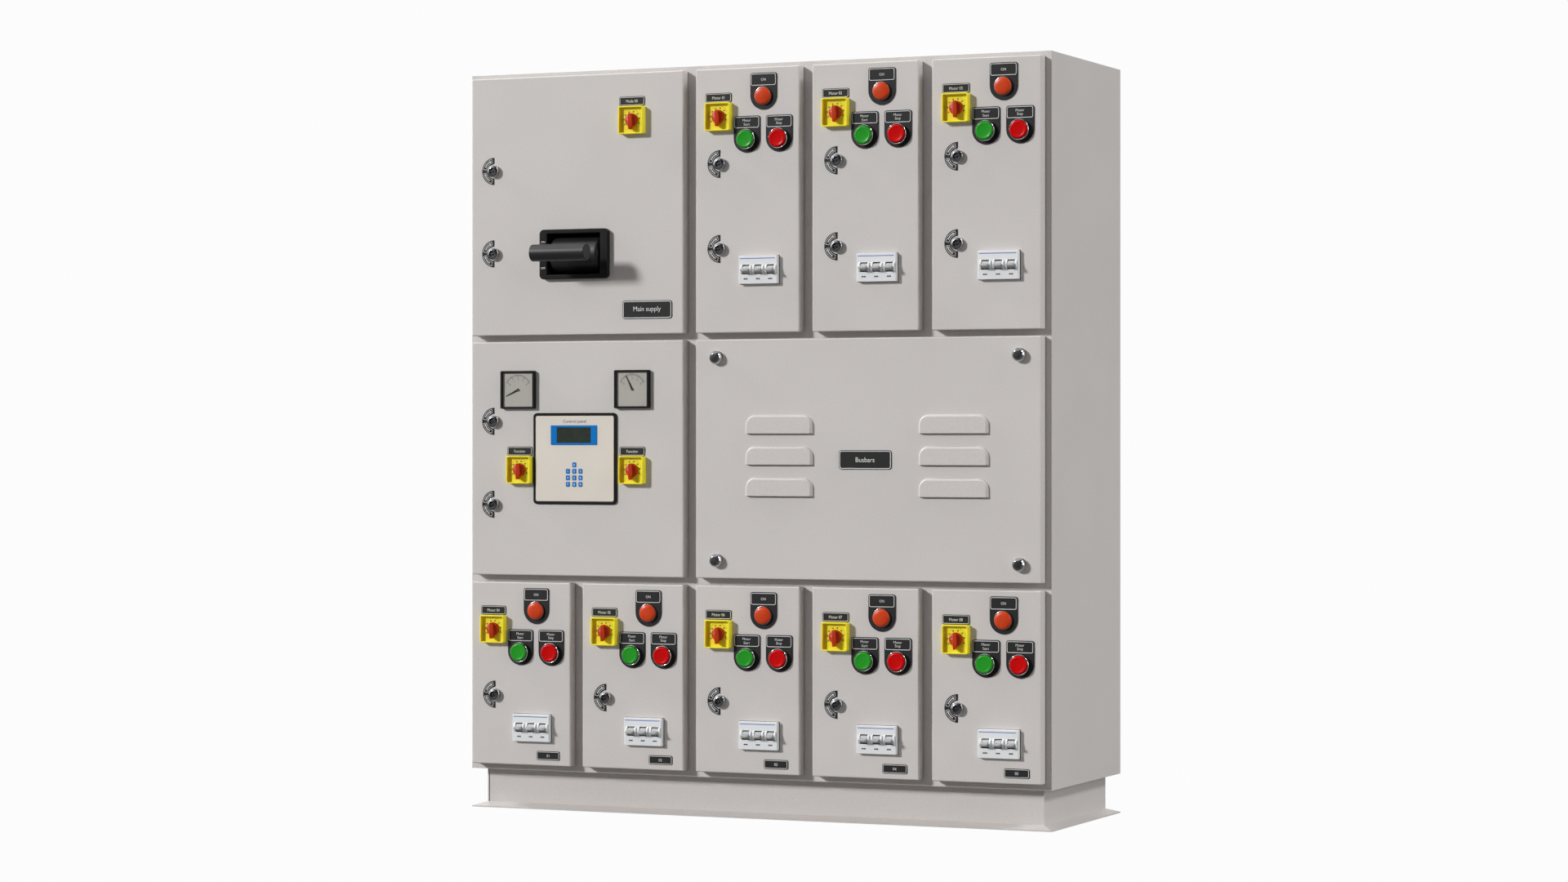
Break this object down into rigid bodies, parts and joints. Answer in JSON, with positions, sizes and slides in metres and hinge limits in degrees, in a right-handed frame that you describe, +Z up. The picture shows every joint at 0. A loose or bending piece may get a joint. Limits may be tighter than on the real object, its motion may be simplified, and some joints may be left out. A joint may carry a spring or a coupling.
{
  "type": "industrial switchboard cabinet",
  "caption": "Floor-standing low-voltage motor control cabinet: hinged doors with selectors, pushbuttons, lamps, breaker levers and meters, a louvred busbar cover, and a plinth.",
  "frame": {"origin": "on the floor, below the middle of the cabinet body's width and depth", "axes": "+Z up, front doors face -Y, +X to the viewer's right when facing the doors"},
  "size_m": [1.065, 0.4415, 1.267],
  "materials": {
    "grey_paint": "fine powder coat",
    "zinc_steel": "zinc plated sheet",
    "copper": "bare copper bar",
    "device_white": "moulded",
    "device_grey": "moulded",
    "black_plastic": "satin moulded",
    "red_plastic": "gloss moulded",
    "green_plastic": "gloss moulded",
    "toggle_grey": "moulded",
    "needle_black": "painted pointer",
    "chromed": "chrome plated"
  },
  "bodies": {
    "cabinet": {"cabinet_panels": "grey_paint", "rear_panel": "grey_paint", "front_frame": "grey_paint", "hinge_set": "zinc_steel", "plinth": "grey_paint", "mounting_plates": "zinc_steel", "busbars": "copper", "circuit_breakers": "device_white", "starter_gear": "device_grey", "louvred_cover": "grey_paint"},
    "incomer_door": {"incomer_door": "grey_paint"},
    "control_door": {"control_door": "grey_paint"},
    "motor_door_1": {"motor_door_1": "grey_paint"},
    "motor_door_2": {"motor_door_2": "grey_paint"},
    "motor_door_3": {"motor_door_3": "grey_paint"},
    "motor_door_4": {"motor_door_4": "grey_paint"},
    "motor_door_5": {"motor_door_5": "grey_paint"},
    "motor_door_6": {"motor_door_6": "grey_paint"},
    "motor_door_7": {"motor_door_7": "grey_paint"},
    "motor_door_8": {"motor_door_8": "grey_paint"},
    "main_handle": {"main_handle": "black_plastic"},
    "incomer_lock_upper": {"incomer_lock_upper": "chromed"},
    "incomer_lock_lower": {"incomer_lock_lower": "chromed"},
    "selector_incomer": {"selector_incomer": "red_plastic"},
    "selector_8": {"selector_8": "red_plastic"},
    "start_button_8": {"start_button_8": "green_plastic"},
    "stop_button_8": {"stop_button_8": "red_plastic"},
    "breaker_toggle_8": {"breaker_toggle_8": "toggle_grey"},
    "selector_1": {"selector_1": "red_plastic"},
    "start_button_1": {"start_button_1": "green_plastic"},
    "stop_button_1": {"stop_button_1": "red_plastic"},
    "breaker_toggle_1": {"breaker_toggle_1": "toggle_grey"},
    "selector_control_left": {"selector_control_left": "red_plastic"},
    "selector_control_right": {"selector_control_right": "red_plastic"},
    "meter_needle_left": {"meter_needle_left": "needle_black"},
    "meter_needle_right": {"meter_needle_right": "needle_black"},
    "selector_2": {"selector_2": "red_plastic"},
    "start_button_2": {"start_button_2": "green_plastic"},
    "stop_button_2": {"stop_button_2": "red_plastic"},
    "breaker_toggle_2": {"breaker_toggle_2": "toggle_grey"},
    "selector_3": {"selector_3": "red_plastic"},
    "start_button_3": {"start_button_3": "green_plastic"},
    "stop_button_3": {"stop_button_3": "red_plastic"},
    "breaker_toggle_3": {"breaker_toggle_3": "toggle_grey"},
    "selector_4": {"selector_4": "red_plastic"},
    "start_button_4": {"start_button_4": "green_plastic"},
    "stop_button_4": {"stop_button_4": "red_plastic"},
    "breaker_toggle_4": {"breaker_toggle_4": "toggle_grey"},
    "selector_5": {"selector_5": "red_plastic"},
    "start_button_5": {"start_button_5": "green_plastic"},
    "stop_button_5": {"stop_button_5": "red_plastic"},
    "breaker_toggle_5": {"breaker_toggle_5": "toggle_grey"},
    "selector_6": {"selector_6": "red_plastic"},
    "start_button_6": {"start_button_6": "green_plastic"},
    "stop_button_6": {"stop_button_6": "red_plastic"},
    "breaker_toggle_6": {"breaker_toggle_6": "toggle_grey"},
    "selector_7": {"selector_7": "red_plastic"},
    "start_button_7": {"start_button_7": "green_plastic"},
    "stop_button_7": {"stop_button_7": "red_plastic"},
    "breaker_toggle_7": {"breaker_toggle_7": "toggle_grey"}
  },
  "joints": [
    {"name": "incomer_door_hinge", "type": "hinge", "parent": "cabinet", "child": "incomer_door", "pos_m": [-0.1235, -0.1835, 1.037], "axis": [0, 0, 1], "range_deg": [0, 100]},
    {"name": "control_door_hinge", "type": "hinge", "parent": "cabinet", "child": "control_door", "pos_m": [-0.1235, -0.1835, 0.604], "axis": [0, 0, 1], "range_deg": [0, 100]},
    {"name": "motor_door_1_hinge", "type": "hinge", "parent": "cabinet", "child": "motor_door_1", "pos_m": [-0.337, -0.1835, 0.2415], "axis": [0, 0, 1], "range_deg": [0, 100]},
    {"name": "motor_door_2_hinge", "type": "hinge", "parent": "cabinet", "child": "motor_door_2", "pos_m": [-0.1235, -0.1835, 0.2415], "axis": [0, 0, 1], "range_deg": [0, 100]},
    {"name": "motor_door_3_hinge", "type": "hinge", "parent": "cabinet", "child": "motor_door_3", "pos_m": [0.09, -0.1835, 0.2415], "axis": [0, 0, 1], "range_deg": [0, 100]},
    {"name": "motor_door_4_hinge", "type": "hinge", "parent": "cabinet", "child": "motor_door_4", "pos_m": [0.3035, -0.1835, 0.2415], "axis": [0, 0, 1], "range_deg": [0, 100]},
    {"name": "motor_door_5_hinge", "type": "hinge", "parent": "cabinet", "child": "motor_door_5", "pos_m": [0.517, -0.1835, 0.2415], "axis": [0, 0, 1], "range_deg": [0, 100]},
    {"name": "motor_door_6_hinge", "type": "hinge", "parent": "cabinet", "child": "motor_door_6", "pos_m": [0.09, -0.1835, 1.109], "axis": [0, 0, 1], "range_deg": [0, 100]},
    {"name": "motor_door_7_hinge", "type": "hinge", "parent": "cabinet", "child": "motor_door_7", "pos_m": [0.3035, -0.1835, 1.109], "axis": [0, 0, 1], "range_deg": [0, 100]},
    {"name": "motor_door_8_hinge", "type": "hinge", "parent": "cabinet", "child": "motor_door_8", "pos_m": [0.517, -0.1835, 1.109], "axis": [0, 0, 1], "range_deg": [0, 100]},
    {"name": "main_handle_turn", "type": "hinge", "parent": "incomer_door", "child": "main_handle", "pos_m": [-0.3215, -0.1715, 0.9533], "axis": [1, 0, 0], "range_deg": [-35, 35]},
    {"name": "incomer_lock_upper_turn", "type": "hinge", "parent": "incomer_door", "child": "incomer_lock_upper", "pos_m": [-0.4785, -0.1935, 1.099], "axis": [0, 1, 0], "range_deg": [0, 90]},
    {"name": "incomer_lock_lower_turn", "type": "hinge", "parent": "incomer_door", "child": "incomer_lock_lower", "pos_m": [-0.4785, -0.1935, 0.9568], "axis": [0, 1, 0], "range_deg": [0, 90]},
    {"name": "selector_incomer_turn", "type": "hinge", "parent": "incomer_door", "child": "selector_incomer", "pos_m": [-0.212, -0.2035, 1.1778], "axis": [0, 1, 0], "range_deg": [-120, 120]},
    {"name": "selector_8_turn", "type": "hinge", "parent": "motor_door_8", "child": "selector_8", "pos_m": [0.3765, -0.2035, 1.1778], "axis": [0, 1, 0], "range_deg": [-120, 120]},
    {"name": "start_button_8_press", "type": "slide", "parent": "motor_door_8", "child": "start_button_8", "axis": [0, 1, 0], "range_m": [0, 0.004], "stiffness_N_per_m": 500},
    {"name": "stop_button_8_press", "type": "slide", "parent": "motor_door_8", "child": "stop_button_8", "axis": [0, 1, 0], "range_m": [0, 0.004], "stiffness_N_per_m": 500},
    {"name": "breaker_toggle_8_throw", "type": "hinge", "parent": "cabinet", "child": "breaker_toggle_8", "pos_m": [0.4518, -0.1985, 0.9205], "axis": [-1, 0, 0], "range_deg": [-45, 45]},
    {"name": "selector_1_turn", "type": "hinge", "parent": "motor_door_1", "child": "selector_1", "pos_m": [-0.4775, -0.2035, 0.3103], "axis": [0, 1, 0], "range_deg": [-120, 120]},
    {"name": "start_button_1_press", "type": "slide", "parent": "motor_door_1", "child": "start_button_1", "axis": [0, 1, 0], "range_m": [0, 0.004], "stiffness_N_per_m": 500},
    {"name": "stop_button_1_press", "type": "slide", "parent": "motor_door_1", "child": "stop_button_1", "axis": [0, 1, 0], "range_m": [0, 0.004], "stiffness_N_per_m": 500},
    {"name": "breaker_toggle_1_throw", "type": "hinge", "parent": "cabinet", "child": "breaker_toggle_1", "pos_m": [-0.4022, -0.1985, 0.1425], "axis": [-1, 0, 0], "range_deg": [-45, 45]},
    {"name": "selector_control_left_turn", "type": "hinge", "parent": "control_door", "child": "selector_control_left", "pos_m": [-0.4265, -0.2035, 0.5846], "axis": [0, 1, 0], "range_deg": [-120, 120]},
    {"name": "selector_control_right_turn", "type": "hinge", "parent": "control_door", "child": "selector_control_right", "pos_m": [-0.2115, -0.2035, 0.5846], "axis": [0, 1, 0], "range_deg": [-120, 120]},
    {"name": "meter_needle_left_swing", "type": "hinge", "parent": "control_door", "child": "meter_needle_left", "pos_m": [-0.4304, -0.198, 0.722], "axis": [0, 1, 0], "range_deg": [0, 230]},
    {"name": "meter_needle_right_swing", "type": "hinge", "parent": "control_door", "child": "meter_needle_right", "pos_m": [-0.2124, -0.198, 0.722], "axis": [0, 1, 0], "range_deg": [-89, 141]},
    {"name": "selector_2_turn", "type": "hinge", "parent": "motor_door_2", "child": "selector_2", "pos_m": [-0.264, -0.2035, 0.3103], "axis": [0, 1, 0], "range_deg": [-120, 120]},
    {"name": "start_button_2_press", "type": "slide", "parent": "motor_door_2", "child": "start_button_2", "axis": [0, 1, 0], "range_m": [0, 0.004], "stiffness_N_per_m": 500},
    {"name": "stop_button_2_press", "type": "slide", "parent": "motor_door_2", "child": "stop_button_2", "axis": [0, 1, 0], "range_m": [0, 0.004], "stiffness_N_per_m": 500},
    {"name": "breaker_toggle_2_throw", "type": "hinge", "parent": "cabinet", "child": "breaker_toggle_2", "pos_m": [-0.1887, -0.1985, 0.1425], "axis": [-1, 0, 0], "range_deg": [-45, 45]},
    {"name": "selector_3_turn", "type": "hinge", "parent": "motor_door_3", "child": "selector_3", "pos_m": [-0.0505, -0.2035, 0.3103], "axis": [0, 1, 0], "range_deg": [-120, 120]},
    {"name": "start_button_3_press", "type": "slide", "parent": "motor_door_3", "child": "start_button_3", "axis": [0, 1, 0], "range_m": [0, 0.004], "stiffness_N_per_m": 500},
    {"name": "stop_button_3_press", "type": "slide", "parent": "motor_door_3", "child": "stop_button_3", "axis": [0, 1, 0], "range_m": [0, 0.004], "stiffness_N_per_m": 500},
    {"name": "breaker_toggle_3_throw", "type": "hinge", "parent": "cabinet", "child": "breaker_toggle_3", "pos_m": [0.0248, -0.1985, 0.1425], "axis": [-1, 0, 0], "range_deg": [-45, 45]},
    {"name": "selector_4_turn", "type": "hinge", "parent": "motor_door_4", "child": "selector_4", "pos_m": [0.163, -0.2035, 0.3103], "axis": [0, 1, 0], "range_deg": [-120, 120]},
    {"name": "start_button_4_press", "type": "slide", "parent": "motor_door_4", "child": "start_button_4", "axis": [0, 1, 0], "range_m": [0, 0.004], "stiffness_N_per_m": 500},
    {"name": "stop_button_4_press", "type": "slide", "parent": "motor_door_4", "child": "stop_button_4", "axis": [0, 1, 0], "range_m": [0, 0.004], "stiffness_N_per_m": 500},
    {"name": "breaker_toggle_4_throw", "type": "hinge", "parent": "cabinet", "child": "breaker_toggle_4", "pos_m": [0.2383, -0.1985, 0.1425], "axis": [-1, 0, 0], "range_deg": [-45, 45]},
    {"name": "selector_5_turn", "type": "hinge", "parent": "motor_door_5", "child": "selector_5", "pos_m": [0.3765, -0.2035, 0.3103], "axis": [0, 1, 0], "range_deg": [-120, 120]},
    {"name": "start_button_5_press", "type": "slide", "parent": "motor_door_5", "child": "start_button_5", "axis": [0, 1, 0], "range_m": [0, 0.004], "stiffness_N_per_m": 500},
    {"name": "stop_button_5_press", "type": "slide", "parent": "motor_door_5", "child": "stop_button_5", "axis": [0, 1, 0], "range_m": [0, 0.004], "stiffness_N_per_m": 500},
    {"name": "breaker_toggle_5_throw", "type": "hinge", "parent": "cabinet", "child": "breaker_toggle_5", "pos_m": [0.4518, -0.1985, 0.1425], "axis": [-1, 0, 0], "range_deg": [-45, 45]},
    {"name": "selector_6_turn", "type": "hinge", "parent": "motor_door_6", "child": "selector_6", "pos_m": [-0.0505, -0.2035, 1.1778], "axis": [0, 1, 0], "range_deg": [-120, 120]},
    {"name": "start_button_6_press", "type": "slide", "parent": "motor_door_6", "child": "start_button_6", "axis": [0, 1, 0], "range_m": [0, 0.004], "stiffness_N_per_m": 500},
    {"name": "stop_button_6_press", "type": "slide", "parent": "motor_door_6", "child": "stop_button_6", "axis": [0, 1, 0], "range_m": [0, 0.004], "stiffness_N_per_m": 500},
    {"name": "breaker_toggle_6_throw", "type": "hinge", "parent": "cabinet", "child": "breaker_toggle_6", "pos_m": [0.0248, -0.1985, 0.9205], "axis": [-1, 0, 0], "range_deg": [-45, 45]},
    {"name": "selector_7_turn", "type": "hinge", "parent": "motor_door_7", "child": "selector_7", "pos_m": [0.163, -0.2035, 1.1778], "axis": [0, 1, 0], "range_deg": [-120, 120]},
    {"name": "start_button_7_press", "type": "slide", "parent": "motor_door_7", "child": "start_button_7", "axis": [0, 1, 0], "range_m": [0, 0.004], "stiffness_N_per_m": 500},
    {"name": "stop_button_7_press", "type": "slide", "parent": "motor_door_7", "child": "stop_button_7", "axis": [0, 1, 0], "range_m": [0, 0.004], "stiffness_N_per_m": 500},
    {"name": "breaker_toggle_7_throw", "type": "hinge", "parent": "cabinet", "child": "breaker_toggle_7", "pos_m": [0.2383, -0.1985, 0.9205], "axis": [-1, 0, 0], "range_deg": [-45, 45]}
  ]
}
